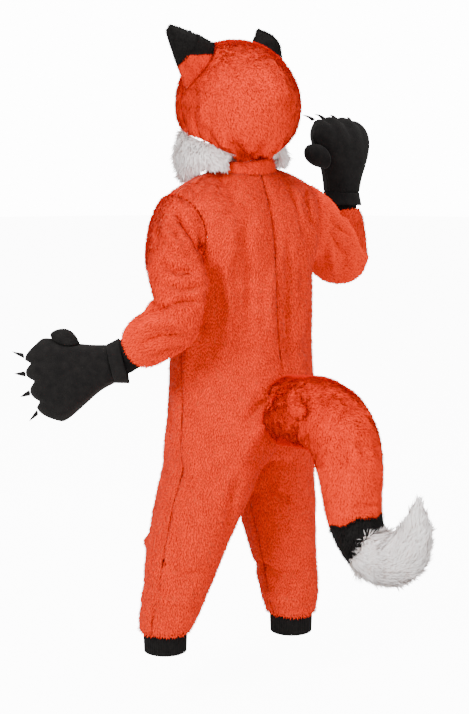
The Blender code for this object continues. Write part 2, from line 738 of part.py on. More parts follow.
def nape(u):
    """The hem of the crown round the back of the neck, from left to right."""
    turn = math.radians(52) * (1 - 2 * u)
    return way_of(0.050 * math.sin(turn), 0.060 * math.cos(turn), -0.098)


def crown_way(u, v):
    """Over the head from the front seam to the nape. The first and last columns pass behind the jaw."""
    first, last = front_seam(u), nape(u)
    near = min(u, 1 - u)
    if near < 0.25:
        side = 1 if u < 0.5 else -1
        inner_u = 0.25 if side > 0 else 0.75
        jaw = way_of(0.075 * side, 0.021, -0.068)
        middle = jaw.lerp(slerp(front_seam(inner_u), nape(inner_u), 0.5), near / 0.25).normalized()
    else:
        middle = slerp(first, last, 0.5)
    bend = middle * 2 - (first + last) / 2
    return (first * (1 - v) ** 2 + bend * 2 * v * (1 - v) + last * v * v).normalized()


def make_crown():
    def surface(u, v):
        point = hood_point(crown_way(u, v))
        gather = smooth_step((v - 0.62) / 0.38) * smooth_step(6 * u) * smooth_step(6 - 6 * u)
        wave = 0.0025 * math.sin(math.tau * 5 * u + 1.0)
        return point + (point - HOOD_CENTRE).normalized() * wave * gather

    def edge_normal(u, v):
        return hood_normal(crown_way(u, v)) if u in (0, 1) or v == 0 else None

    return make_cloth(
        "hood_crown", surface, spread(0, 1, 18), spread(0, 1, 11), PLUSH, orange,
        outward=-1, gap={"v0": SEAM_GAP / 2, "u0": SEAM_GAP, "u1": SEAM_GAP}, edge_normal=edge_normal,
    )


def make_face_band():
    def surface(u, v):
        return hood_point(slerp(front_seam(u), face_edge(u), v))

    def edge_normal(u, v):
        return hood_normal(slerp(front_seam(u), face_edge(u), v)) if u in (0, 1) or v == 0 else None

    return make_cloth(
        "hood_band", surface, spread(0, 1, 18), spread(0, 1, 4), PLUSH, orange,
        outward=1, gap={"v0": SEAM_GAP / 2, "u0": SEAM_GAP, "u1": SEAM_GAP}, edge_normal=edge_normal,
    )


def cheek_way(s):
    """The upper edge of the left cheek: along the crown, then along the face band, then round the chin."""
    corner, front = front_seam(0), face_edge(0)
    if s <= 0.45:
        return crown_way(0, 0.78 * (1 - s / 0.45))
    if s <= 0.70:
        return slerp(corner, front, (s - 0.45) / 0.25)
    return slerp(front, way_of(0.010, -0.088, -0.072), (s - 0.70) / 0.30)


def make_cheek(name, side):
    """The white fur from behind the ear, along the jaw and under the chin, thick with long pile."""

    def surface(s, t):
        top = hood_point(cheek_way(s))
        top.x *= side
        row = read_table(CHEEK_EDGE, s)
        turn = math.radians(row.turn)
        low = Vector((side * row.out * math.sin(turn), row.out * math.cos(turn), row.z))
        point = top.lerp(low, t)
        way = (point - Vector((0.0, 0.0, point.z))).normalized()
        return point + way * 0.013 * math.sin(math.pi * t * 0.94)

    def inner(s, t):
        point = surface(s, t)
        flat = (point - Vector((0.0, 0.0, point.z))).normalized()
        share = smooth_step(t / 0.8)
        seam = hood_normal(cheek_way(s))
        seam.x *= side
        way = seam.lerp(flat, share).normalized()
        return point - way * (PLUSH + (LONG_PILE - PLUSH) * share)

    return make_cloth(
        name, surface, spread(0, 1, 12), spread(0, 1, 4), LONG_PILE, white,
        inner=inner, gap={"v0": 1.2 * MM, "u1": 1.0 * MM},
    )


def ear_surface(ear):
    """u goes from the inner edge, -1, to the outer edge, 1. v goes from the hood, 0, to the tip, 1."""
    first, last = way_of(0.046, -0.016, 0.104), way_of(0.098, -0.020, 0.024)

    def surface(u, v):
        share = (u + 1) / 2
        way = slerp(first, last, share)
        root = hood_point(way + Vector((0.0, 0.26 * (1 - u * u), 0.0)))
        root.x *= ear.side
        root += (root - HOOD_CENTRE).normalized() * 1.2 * MM
        edge_a, edge_b = hood_point(first), hood_point(last)
        middle = (edge_a + edge_b) / 2
        middle.x *= ear.side
        width = max(1 - v, 0.0) ** 0.9
        to_root = root - middle
        spine = middle.lerp(ear.tip, v)
        arch = math.sin(math.pi * v) * 0.008
        outward = Vector((ear.side * 0.6, 0.35, 0.5)).normalized()
        cup = Vector((0.0, 0.010 * (1 - u * u) * math.sin(math.pi * min(v + 0.15, 1.0)), 0.0))
        bend = Vector((0.0, 0.0, ear.lean * math.sin(math.pi * v)))
        return spine + to_root * (width * 0.89 + 0.11) + outward * arch + cup + bend

    return surface


def make_ears():
    for ear in EARS:
        label = "left" if ear.side > 0 else "right"
        surface = ear_surface(ear)
        columns = spread(-1, 1, 6)
        way = -ear.side

        def edge_normal(u, v, surface=surface, way=way):
            normal = normal_of(surface, u, v) * way
            out = (surface(u, v) - HOOD_CENTRE).normalized()
            return (normal - out * normal.dot(out) * (1 - smooth_step(v / 0.3))).normalized()

        make_cloth(
            f"ear_back_{label}", surface, columns, spread(0, EAR_TIP_START, 4), PLUSH, orange,
            outward=way, gap={"v1": SEAM_GAP / 2}, edge_normal=edge_normal,
        )
        make_cloth(
            f"ear_inner_{label}", surface, columns, spread(0.02, EAR_TIP_START, 4), 2.0 * MM, pale_pink,
            outward=way, gap={"v1": SEAM_GAP / 2}, lift=-(PLUSH + 0.8 * MM), edge_normal=edge_normal,
        )
        make_cloth(
            f"ear_tip_{label}", surface, columns, spread(EAR_TIP_START, 1, 5), PLUSH + SEAM_GAP + 2.0 * MM,
            black_plush, outward=way, gap={"v0": SEAM_GAP / 2}, edge_normal=edge_normal,
        )


def make_solid(name, surface, us, vs, material):
    """A filled piece. Its first and last rows close to a point."""
    points = {(i, j): surface(u, v) for i, u in enumerate(us) for j, v in enumerate(vs)}
    bm = bmesh.new()
    grid_of(bm, points, len(us) - 1, len(vs) - 1, True)
    bmesh.ops.remove_doubles(bm, verts=bm.verts[:], dist=1e-6)
    return finish_piece(name, bm, material)


def tail_point(u, along):
    row = read_table(TAIL, along)
    ahead, behind = read_table(TAIL, min(along + 0.01, 1)), read_table(TAIL, max(along - 0.01, 0))
    tangent = Vector((0.0, ahead.y - behind.y, ahead.z - behind.z)).normalized()
    up = Vector((0.0, -tangent.z, tangent.y))
    turn = math.tau * u
    middle = Vector((0.0, row.y, row.z))
    return middle + Vector((row.across * math.sin(turn), 0.0, 0.0)) + up * row.up * math.cos(turn)


def back_height(tree, x, z):
    """How far back the suit's back lies at a height."""
    hit = tree.ray_cast(Vector((x, 0.6, z)), Vector((0.0, -1.0, 0.0)))[0]
    return hit.y


def make_tail(back_pieces):
    """The stuffed tail in three colours, its jagged seams sewn edge to edge."""
    bm = bmesh.new()
    for piece in back_pieces:
        bm.from_mesh(piece.data)
    tree = BVHTree.FromBMesh(bm)
    bm.free()
    around = spread(0, 1, TAIL_AROUND)

    def jag(u, middle):
        wave = abs((u * TAIL_TEETH * 2) % 2 - 1) * 2 - 1
        return middle + TOOTH * wave

    def root(u, v):
        share = v + 1
        row = TAIL[0]
        x = tail_point(u, 0).x * share
        z = row.z + row.up * math.cos(math.tau * u) * share
        return Vector((x, back_height(tree, x, z) + TAIL_LIFT, z))

    def capped(start, end, closed_start, closed_end):
        """Rows below 0 and above 1 close the ends."""

        def surface(u, v):
            if v < 0 and closed_start == "root":
                return root(u, v)
            along_start = jag(u, start) + 0.25 * MM / 0.62 if closed_start == "seam" else start
            along_end = jag(u, end) - 0.25 * MM / 0.62 if closed_end == "seam" else end
            if v < 0:
                middle = Vector((0.0, read_table(TAIL, start).y, read_table(TAIL, start).z))
                return middle.lerp(tail_point(u, along_start), v + 1)
            if v > 1:
                row = read_table(TAIL, end - 0.0008)
                return tail_point(u, along_end).lerp(Vector((0.0, row.y, row.z)), v - 1)
            if closed_start == "root" and v == 0:
                return root(u, v)
            return tail_point(u, along_start + (along_end - along_start) * v)

        return surface

    make_solid(
        "tail", capped(0.0, TAIL_BAND_START, "root", "seam"), around,
        [-1, -0.66, -0.33] + spread(0, 1, 14) + [2], orange,
    )
    make_solid(
        "tail_band", capped(TAIL_BAND_START, TAIL_BAND_END, "seam", "seam"), around,
        [-1] + spread(0, 1, 3) + [2], black_plush,
    )
    make_solid(
        "tail_tip", capped(TAIL_BAND_END, 1.0, "seam", "point"), around,
        [-1] + spread(0, 1, 9) + [2], white,
    )


class Hand:
    """The bent frame of a mitt: along to the toes, across to the thumb and out of the back of the hand."""

    def __init__(self, place):
        self.wrist = place.wrist
        self.along = place.fingers.normalized()
        thumb = place.thumb - self.along * place.thumb.dot(self.along)
        self.across = thumb.normalized()
        self.out = self.across.cross(self.along) * place.side
        self.curl = place.curl

    def point(self, along, across, out):
        steps = 16
        place = self.wrist.copy()
        angle = 0.0
        for k in range(steps):
            share = max((k + 0.5) / steps * along / MITT_LENGTH, 0.0)
            angle = self.curl * max(share - 0.25, 0.0) ** 1.3
            place += (self.along * math.cos(angle) - self.out * math.sin(angle)) * (along / steps)
        way_out = self.out * math.cos(angle) + self.along * math.sin(angle)
        return place + self.across * across + way_out * out


def toe_reach(u):
    """How far the four toes reach from the wrist. u runs across them, -1 to 1."""
    toes = abs(math.sin(math.tau * u)) ** 0.6
    return MITT_LENGTH + TOE_LENGTH * (toes * 0.75 + 0.25) * (1 - abs(u) ** 6) - 0.014 * abs(u) ** 4


def mitt_surface(hand, face, inset):
    """Half of a mitt, its back or its palm. u runs across, -1 to 1, and v from the wrist to the toes."""

    def surface(u, v):
        row = read_table(MITT, v)
        width = (row.high if u > 0 else row.low) - inset
        toes = abs(math.sin(math.tau * u)) ** 0.6
        reach = toe_reach(u) - inset
        share = smooth_step((v - 0.55) / 0.45)
        along = v * (MITT_LENGTH * (1 - share) + reach * share) if v <= 1 else reach
        rim = max(1 - abs(u) ** 3, 0.0) ** 0.5
        end = max(1 - v**8, 0.0) ** 0.5
        knuckle = 0.003 * toes * smooth_step((v - 0.5) / 0.3)
        height = (row.puff - inset + knuckle) * rim * end
        return hand.point(along, width * u, face * (SEAM_GAP / 2 + height))

    return surface


def make_claw(name, hand, u):
    """A felt claw, a flattened cone that hooks towards the palm."""
    root = max(toe_reach(u + d) for d in (-0.08, 0.0, 0.08)) + 0.8 * MM
    across = u * (MITT[-1].high if u > 0 else MITT[-1].low)

    def surface(u, v):
        turn = math.tau * u
        radius = CLAW_RADIUS * (1 - max(v, 0.0)) ** 0.8 * (1 + v if v < 0 else 1)
        reach = root + CLAW_LENGTH * max(v, 0.0)
        hook = -0.006 * max(v, 0.0) ** 2
        side = across * (1 + 0.25 * max(v, 0.0)) + radius * math.cos(turn)
        return hand.point(reach, side, hook + radius * 0.8 * math.sin(turn))

    return make_solid(name, surface, spread(0, 1, 8), [-1] + spread(0, 1, 4), black_felt)


def make_mitt(place):
    label = "left" if place.side > 0 else "right"
    hand = Hand(place)
    columns = spread(-1, 1, MITT_COLUMNS)
    rows = [0, 0.18, 0.36, 0.52, 0.66, 0.78, 0.88, 0.96, 1.0]
    for part, face in (("back", 1), ("palm", -1)):
        make_cloth(
            f"mitt_{part}_{label}", mitt_surface(hand, face, 0.0), columns, rows, FLEECE, black_fleece,
            inner=mitt_surface(hand, face, FLEECE),
        )
    make_thumb(f"mitt_thumb_{label}", hand, place.thumb_length)
    make_mitt_hem(f"mitt_hem_{label}", hand)
    for k, toe in enumerate((-0.75, -0.25, 0.25, 0.75)):
        make_claw(f"claw_{label}_{k + 1}", hand, toe)


def make_thumb(name, hand, thumb_length):
    """The thumb, a dome set on the mitt's side."""
    place = THUMB_PLACE

    def dome(u, v, inset):
        turn = math.tau * u
        radius = THUMB_RADIUS - inset
        along = place * MITT_LENGTH + radius * 1.25 * math.cos(turn)
        out = radius * math.sin(turn)
        row = read_table(MITT, along / MITT_LENGTH)
        rim = (1 - min((out / row.puff) ** 2, 1.0)) ** (1 / 3)
        base = row.high * rim + 1.6 * MM
        share = min(max(v, 0.0), 1.0)
        squeeze = math.sqrt(max(1 - share**3, 0.0))
        top = read_table(MITT, place).high + thumb_length - inset
        return hand.point(
            place * MITT_LENGTH + (along - place * MITT_LENGTH) * squeeze + 0.005 * share,
            base + (top - base) * share,
            out * squeeze,
        )

    def surface(u, v):
        return dome(u, v, 0.0)

    def inner(u, v):
        return dome(u, v, FLEECE)

    rows = [0, 0.3, 0.6, 0.82, 0.95, 1.0]
    return make_cloth(name, surface, spread(0, 1, 12), rows, FLEECE, black_fleece, inner=inner)


def make_mitt_hem(name, hand):
    """The gathered hem below the mitt's elastic."""

    def ring(u, v, inset):
        turn = math.tau * u
        pleat = 0.0008 * math.cos(math.tau * 10 * u) * v
        wide = 0.0345 + 0.006 * v + pleat - inset
        return hand.point(-0.0006 - 0.024 * v, wide * math.cos(turn), (wide - 0.0005) * math.sin(turn))

    def surface(u, v):
        return ring(u, v, 0.0)

    def inner(u, v):
        return ring(u, v, 2.0 * MM)

    columns = spread(0, 1, 20)
    return make_cloth(name, surface, columns, spread(0, 1, 2), 2.0 * MM, black_fleece, inner=inner)


def build():
    backs = [make_panel("back_left", 1, 1), make_panel("back_right", -1, 1)]
    make_panel("front_left", 1, -1)
    make_panel("front_right", -1, -1)
    make_sleeve("sleeve_left", LEFT_SLEEVE, LEFT_SLEEVE_FOLDS, 1)
    make_sleeve("sleeve_right", RIGHT_SLEEVE, RIGHT_SLEEVE_FOLDS, -1)
    make_collar("collar")
    make_placket("back_placket")
    make_crown()
    make_face_band()
    make_cheek("cheek_left", 1)
    make_cheek("cheek_right", -1)
    make_ears()
    make_tail(backs)
    for place, label, rows in zip(MITTS, ("left", "right"), (LEFT_SLEEVE, RIGHT_SLEEVE)):
        make_mitt(place)
        make_wrist_cuff(f"wrist_cuff_{label}", rows, place)
        make_ankle_cuff(f"ankle_cuff_{label}", place.side)


clear_scene()
collection = bpy.data.collections.new("fox_costume")
bpy.context.scene.collection.children.link(collection)
orange = make_material("orange_plush", ORANGE, 0.9)
black_plush = make_material("black_plush", BLACK, 0.9)
black_fleece = make_material("black_fleece", BLACK, 0.85)
black_felt = make_material("black_felt", BLACK, 0.9)
black_knit = make_material("black_knit", BLACK, 0.85)
white = make_material("white_fur", WHITE, 0.9)
pale_pink = make_material("ear_lining", PALE_PINK, 0.8)
build()
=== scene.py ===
import math

import bmesh
import bpy
import numpy as np
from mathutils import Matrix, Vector, noise
from mathutils.bvhtree import BVHTree
from mathutils.kdtree import KDTree


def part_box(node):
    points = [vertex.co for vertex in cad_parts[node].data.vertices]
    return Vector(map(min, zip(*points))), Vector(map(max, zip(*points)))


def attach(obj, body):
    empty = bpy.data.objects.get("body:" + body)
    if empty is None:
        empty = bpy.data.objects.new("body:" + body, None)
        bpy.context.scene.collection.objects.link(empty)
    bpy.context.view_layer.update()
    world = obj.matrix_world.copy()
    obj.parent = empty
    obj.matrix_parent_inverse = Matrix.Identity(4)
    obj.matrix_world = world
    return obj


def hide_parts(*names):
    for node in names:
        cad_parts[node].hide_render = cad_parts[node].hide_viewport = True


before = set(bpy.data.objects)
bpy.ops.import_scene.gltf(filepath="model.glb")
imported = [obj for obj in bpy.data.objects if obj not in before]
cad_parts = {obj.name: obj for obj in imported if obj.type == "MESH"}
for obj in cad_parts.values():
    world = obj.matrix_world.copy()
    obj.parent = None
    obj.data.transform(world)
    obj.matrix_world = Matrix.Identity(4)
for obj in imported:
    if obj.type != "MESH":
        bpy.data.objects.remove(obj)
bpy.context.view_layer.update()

mm = 0.001
print("frame loaded:", len(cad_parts), "nodes")


def linear(hexColour):
    values = [int(hexColour[k:k + 2], 16) / 255 for k in (1, 3, 5)]
    return [v / 12.92 if v <= 0.04045 else ((v + 0.055) / 1.055) ** 2.4 for v in values] + [1.0]


def addNode(tree, kind, inputs=None, **settings):
    node = tree.nodes.new(kind)
    for name, value in settings.items():
        setattr(node, name, value)
    for socket, value in (inputs or {}).items():
        if isinstance(value, bpy.types.NodeSocket):
            tree.links.new(value, node.inputs[socket])
        else:
            node.inputs[socket].default_value = value
    return node


# The camera stands at the photograph's angle, level with the wearer's waist.
cameraPlace = {
    "azimuth": 140,
    "elevation": 10,
    "distance": 3.2,
    "aim": (0.0, 0.0, -0.33),
    "aimAside": 0.01157,  # metres from the aim to the middle of the frame
    "lens": 90.64,
    "sensor": 36.0,
}
photoSize = (469, 714)
azimuth = math.radians(cameraPlace["azimuth"])
elevation = math.radians(cameraPlace["elevation"])
cameraBack = Vector((math.sin(azimuth), -math.cos(azimuth), math.tan(elevation))).normalized()
cameraRight = Vector((0, 0, 1)).cross(cameraBack).normalized()
cameraUp = cameraBack.cross(cameraRight)
cameraEye = Vector(cameraPlace["aim"]) - cameraRight * cameraPlace["aimAside"]
cameraEye += cameraBack * cameraPlace["distance"]

cameraData = bpy.data.cameras.new("photoCamera")
cameraData.lens = cameraPlace["lens"]
cameraData.sensor_width = cameraPlace["sensor"]
cameraData.clip_end = 60
camera = bpy.data.objects.new("photoCamera", cameraData)
bpy.context.scene.collection.objects.link(camera)
camera.location = cameraEye
camera.rotation_mode = "QUATERNION"
camera.rotation_quaternion = (-cameraBack).to_track_quat("-Z", "Y")
bpy.context.scene.camera = camera

# One tree of all the solids finds places on the suit and tells the outside of a wall from its inside.
wholeSuit = bmesh.new()
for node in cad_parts.values():
    wholeSuit.from_mesh(node.data)
suitTree = BVHTree.FromBMesh(wholeSuit)
wholeSuit.free()


def inPhoto(x, y):
    # the suit's surface at a place in the photograph, in pixels from its top left corner
    pixels = cameraPlace["lens"] / cameraPlace["sensor"] * photoSize[1]
    way = cameraRight * ((x - photoSize[0] / 2) / pixels) - cameraUp * ((y - photoSize[1] / 2) / pixels)
    return suitTree.ray_cast(cameraEye, (way - cameraBack).normalized())[:2]


def fromSide(turn, height, centre=(0.0, 0.0)):
    # the surface met level from outside: 0 at the front, 90 at the wearer's left, 180 at the back
    angle = math.radians(turn)
    out = Vector((math.sin(angle), -math.cos(angle), 0.0))
    start = Vector((centre[0], centre[1], height)) + out * 0.6
    return suitTree.ray_cast(start, -out)[:2]


# Soft troughs and ridges: places along each one, width and depth in mm, a trough's depth below 0.
folds = []
foldDepth = 3.0


def addFold(places, width, depth):
    found = [place for place in places if place[0] is not None]
    if len(found) > 1:
        folds.append(([p for p, n in found], [n for p, n in found], width * mm, depth * foldDepth * mm))


photoFolds = {
    "back, from the shoulders to the tail": [
        ([(250, 205), (246, 240), (250, 290), (246, 340)], 9, -3.0),
        ([(232, 215), (226, 260), (230, 310), (222, 370)], 10, 3.0),
        ([(214, 262), (208, 300), (206, 350)], 9, -3.5),
        ([(192, 300), (190, 345), (184, 400)], 9, 3.0),
        ([(286, 228), (290, 270), (288, 320), (294, 372)], 9, -3.5),
        ([(302, 235), (304, 280), (300, 340)], 8, 3.0),
        ([(272, 262), (268, 300), (270, 345)], 8, 2.5),
    ],
    "right shoulder and armhole": [
        ([(306, 184), (308, 200), (312, 218), (318, 236)], 5, -4.5),
        ([(296, 186), (298, 205), (302, 226)], 7, 2.5),
    ],
    "left sleeve": [
        ([(173, 206), (186, 224), (198, 244), (206, 262)], 6, -5.0),
        ([(162, 214), (168, 236), (182, 256)], 8, 3.0),
        ([(156, 262), (176, 270), (200, 270)], 6, -4.5),
        ([(160, 282), (182, 288), (206, 284)], 6, -4.0),
        ([(136, 318), (158, 308), (186, 300), (204, 300)], 5, -5.0),
        ([(134, 330), (158, 322), (186, 318)], 6, 3.0),
        ([(138, 344), (160, 336), (188, 332)], 5, -4.5),
        ([(150, 356), (168, 350), (186, 344)], 5, -3.5),
    ],
    "right sleeve": [
        ([(328, 216), (338, 226), (354, 238)], 5, -4.5),
        ([(328, 226), (336, 242), (346, 258)], 5, -4.0),
        ([(326, 238), (330, 256), (336, 274)], 6, 3.0),
        ([(336, 212), (350, 218), (364, 222)], 5, -3.5),
    ],
    "seat and legs": [
        ([(276, 392), (262, 402), (246, 420)], 9, -3.5),
        ([(268, 420), (250, 438), (236, 470)], 10, 3.0),
        ([(240, 470), (232, 500), (226, 540)], 9, -3.0),
        ([(186, 440), (196, 480), (200, 530)], 12, 2.5),
        ([(160, 560), (180, 572), (206, 570)], 7, -3.0),
        ([(150, 590), (172, 600), (200, 596)], 7, 2.5),
        ([(262, 476), (276, 492), (292, 500)], 8, -3.0),
        ([(258, 560), (280, 572), (308, 570)], 7, -3.0),
        ([(262, 588), (284, 598), (308, 594)], 7, 2.5),
    ],
    "hood": [
        ([(192, 112), (194, 126), (198, 142)], 5, -3.0),
        ([(228, 132), (238, 150), (246, 164)], 6, -3.0),
        ([(262, 138), (256, 152), (250, 166)], 6, -3.0),
        ([(284, 128), (276, 148), (266, 164)], 7, 2.5),
        ([(212, 120), (222, 142), (236, 160)], 8, 2.5),
        ([(206, 90), (202, 108), (206, 128)], 10, 2.0),
    ],
    "tail": [
        ([(290, 392), (300, 404), (304, 420)], 9, -3.0),
        ([(330, 400), (350, 430), (356, 470)], 14, 2.5),
        ([(352, 500), (364, 506), (378, 502)], 8, -2.5),
        ([(348, 440), (364, 446), (380, 442)], 10, -2.0),
    ],
}
for places in photoFolds.values():
    for line, width, depth in places:
        addFold([inPhoto(x, y) for x, y in line], width, depth)

# The front and sides aren't in the photograph: plain folds of the same kind, as (turn, height).
hiddenFolds = [
    ([(20, -0.20), (28, -0.30), (24, -0.40)], 10, -3.5),
    ([(-18, -0.22), (-26, -0.32), (-22, -0.42)], 10, -3.5),
    ([(34, -0.24), (40, -0.36), (34, -0.46)], 10, 3.0),
    ([(-36, -0.26), (-42, -0.36), (-34, -0.46)], 10, 3.0),
    ([(0, -0.16), (2, -0.24), (-2, -0.34)], 12, 2.5),
    ([(56, -0.20), (48, -0.27), (38, -0.33)], 9, -3.5),
    ([(-56, -0.20), (-48, -0.27), (-38, -0.33)], 9, -3.5),
    ([(8, -0.47), (22, -0.52), (40, -0.54)], 9, -4.0),
    ([(-8, -0.47), (-24, -0.52), (-42, -0.54)], 9, -4.0),
    ([(12, -0.50), (26, -0.56), (44, -0.58)], 9, 3.0),
    ([(-12, -0.50), (-28, -0.56), (-46, -0.58)], 9, 3.0),
    ([(78, -0.30), (80, -0.42), (74, -0.52)], 10, -3.0),
    ([(-82, -0.28), (-80, -0.42), (-76, -0.52)], 10, -3.0),
]
for line, width, depth in hiddenFolds:
    addFold([fromSide(turn, height) for turn, height in line], width, depth)
legFolds = [
    ((0.152, -0.034), [(-60, -0.72), (0, -0.735), (60, -0.725)], 8, -3.5),
    ((0.152, -0.034), [(-50, -0.77), (10, -0.775), (70, -0.765)], 7, -3.0),
    ((0.130, -0.030), [(-40, -0.64), (20, -0.66), (60, -0.65)], 9, 3.0),
    ((-0.097, 0.028), [(-60, -0.715), (0, -0.73), (60, -0.72)], 8, -3.5),
    ((-0.097, 0.028), [(-70, -0.77), (-10, -0.775), (50, -0.765)], 7, -3.0),
    ((-0.092, 0.015), [(-60, -0.65), (-20, -0.66), (40, -0.65)], 9, 3.0),
]
for centre, line, width, depth in legFolds:
    addFold([fromSide(turn, height, centre) for turn, height in line], width, depth)
print("folds placed:", len(folds))


def foldLift(points):
    # how far the folds lift each point, along the cloth's outward way
    lift = np.zeros(len(points))
    for line, normals, width, depth in folds:
        nearest = np.full(len(points), 1e9)
        height = np.zeros(len(points))
        steps = len(line) - 1
        for k in range(steps):
            a, b = np.array(line[k]), np.array(line[k + 1])
            normal = np.array((normals[k] + normals[k + 1]).normalized())
            run = b - a
            share = np.clip((points - a) @ run / (run @ run), 0, 1)
            away = points - a - share[:, None] * run
            rise = away @ normal
            flat = np.linalg.norm(away - rise[:, None] * normal, axis=1)
            along = (k + share) / steps
            fade = np.clip(4 * along, 0, 1) * np.clip(4 * (1 - along), 0, 1)
            here = depth * fade * np.exp(-((flat / width) ** 2)) * (np.abs(rise) < 0.03)
            closer = flat < nearest
            height = np.where(closer, here, height)
            nearest = np.where(closer, flat, nearest)
        lift += height
    return lift


# ---- cloth from the solids
clothFinish = {
    "merge": 0.01 * mm,
    "smoothLevels": 2,
    "sharpEdge": 48,  # degrees, past which an edge is the cloth's rim
    "wallEdge": 32,  # degrees, past which one side of the wall ends
    "openRays": 18,
    "openShare": 0.3,  # of rays that leave the suit, past which a wall is the outer one
    "leastWall": 2e-4,  # square metres; smaller strips are rims
}


def mergedCopy(nodeName):
    bm = bmesh.new()
    bm.from_mesh(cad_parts[nodeName].data)
    bmesh.ops.remove_doubles(bm, verts=bm.verts[:], dist=clothFinish["merge"])
    bmesh.ops.join_triangles(
        bm, faces=bm.faces[:], angle_face_threshold=math.radians(30), angle_shape_threshold=math.radians(55)
    )
    return bm


goldenAngle = 2.39996
rayWays = []
for k in range(clothFinish["openRays"]):
    lean = 0.25 + 0.75 * (k + 0.5) / clothFinish["openRays"]
    turn = k * goldenAngle
    flat = math.sqrt(1 - lean * lean)
    rayWays.append(Vector((flat * math.cos(turn), flat * math.sin(turn), lean)))


def openShare(face):
    # the share of rays that leave the suit from a face
    start = face.calc_center_median() + face.normal * 0.6 * mm
    turn = face.normal.to_track_quat("Z", "Y")
    return sum(suitTree.ray_cast(start, turn @ way)[0] is None for way in rayWays) / len(rayWays)


def markWalls(bm):
    # material 0 on the outer face of the cloth, 1 on its rims and its inner face
    wallEdge = math.radians(clothFinish["wallEdge"])
    waiting = set(bm.faces)
    walls = []
    while waiting:
        wall = [waiting.pop()]
        for face in wall:
            for edge in face.edges:
                if len(edge.link_faces) == 2 and edge.calc_face_angle() < wallEdge:
                    near = [other for other in edge.link_faces if other in waiting]
                    waiting.difference_update(near)
                    wall.extend(near)
        walls.append(wall)
    for wall in walls:
        sample = wall[:: max(1, len(wall) // 24)]
        isOuter = sum(openShare(face) for face in sample) / len(sample) > clothFinish["openShare"]
        area = sum(face.calc_area() for face in wall)
        for face in wall:
            face.material_index = 0 if isOuter and area > clothFinish["leastWall"] else 1


def smoothed(name, bm, levels):
    # rounds the cloth and keeps its rims, with Catmull-Clark
    crease = bm.edges.layers.float.new("crease_edge")
    for edge in bm.edges:
        if len(edge.link_faces) == 2 and edge.calc_face_angle() > math.radians(clothFinish["sharpEdge"]):
            edge[crease] = 1.0
    mesh = bpy.data.meshes.new(name)
    bm.to_mesh(mesh)
    bm.free()
    obj = bpy.data.objects.new(name, mesh)
    bpy.context.scene.collection.objects.link(obj)
    rounding = obj.modifiers.new("rounding", "SUBSURF")
    rounding.levels = rounding.render_levels = levels
    depsgraph = bpy.context.evaluated_depsgraph_get()
    done = bpy.data.meshes.new_from_object(obj.evaluated_get(depsgraph))
    obj.modifiers.clear()
    obj.data = done
    bpy.data.meshes.remove(mesh)
    done.name = name
    done.shade_smooth()
    return obj


def readPoints(mesh):
    points = np.empty(len(mesh.vertices) * 3)
    mesh.vertices.foreach_get("co", points)
    return points.reshape(-1, 3)


def readNormals(mesh):
    normals = np.empty(len(mesh.vertices) * 3)
    mesh.vertex_normals.foreach_get("vector", normals)
    return normals.reshape(-1, 3)


def outerVertices(mesh):
    outer, inner = set(), set()
    for polygon in mesh.polygons:
        (outer if polygon.material_index == 0 else inner).update(polygon.vertices)
    return np.array(sorted(outer)), outer & inner


seamWidth = 6.0


def shapeCloth(obj, seamDepth=2.0, lumps=1.2):
    # moves both faces of the wall together: folds, drawn-in seams, and the unevenness of thick plush
    mesh = obj.data
    points, normals = readPoints(mesh), readNormals(mesh)
    outer, rim = outerVertices(mesh)
    top = points[outer]
    lift = foldLift(top)
    if rim:
        rimTree = KDTree(len(rim))
        for k, index in enumerate(rim):
            rimTree.insert(points[index], k)
        rimTree.balance()
        away = np.array([rimTree.find(point)[2] for point in top])
    else:
        away = np.full(len(top), 1.0)
    lift -= seamDepth * mm * np.exp(-((away / (seamWidth * mm)) ** 2))
    for k, point in enumerate(top):
        place = Vector(point)
        lift[k] += lumps * mm * (noise.noise(place * 14) * 1.2 + noise.noise(place * 45) * 0.45)
    move = normals[outer] * lift[:, None]
    outerTree = KDTree(len(top))
    for k, point in enumerate(top):
        outerTree.insert(point, k)
    outerTree.balance()
    nearest = [outerTree.find(point)[1] for point in points]
    points += move[nearest]
    mesh.vertices.foreach_set("co", points.ravel())
    mesh.update()
    return obj


# ---- pile: blades of fibre that stand on the outer face of the cloth


def makeBlade(name, segments, width, bend):
    # one tuft of fibres, along Z from its root, 1 long, tapered and bent towards -Y
    bm = bmesh.new()
    bmesh.ops.create_grid(bm, x_segments=1, y_segments=segments, size=0.5)
    for vert in bm.verts:
        share = vert.co.y + 0.5
        taper = max(1 - share**1.5, 0.0) if segments > 1 else 1 - share
        vert.co = (vert.co.x * width * taper, -bend * share * share, share)
    bmesh.ops.remove_doubles(bm, verts=bm.verts[:], dist=1e-5)
    mesh = bpy.data.meshes.new(name)
    bm.to_mesh(mesh)
    bm.free()
    tip = mesh.attributes.new("tip", "FLOAT", "POINT")
    for k, vert in enumerate(mesh.vertices):
        tip.data[k].value = vert.co.z
    blade = bpy.data.objects.new(name, mesh)
    bpy.context.scene.collection.objects.link(blade)
    return blade


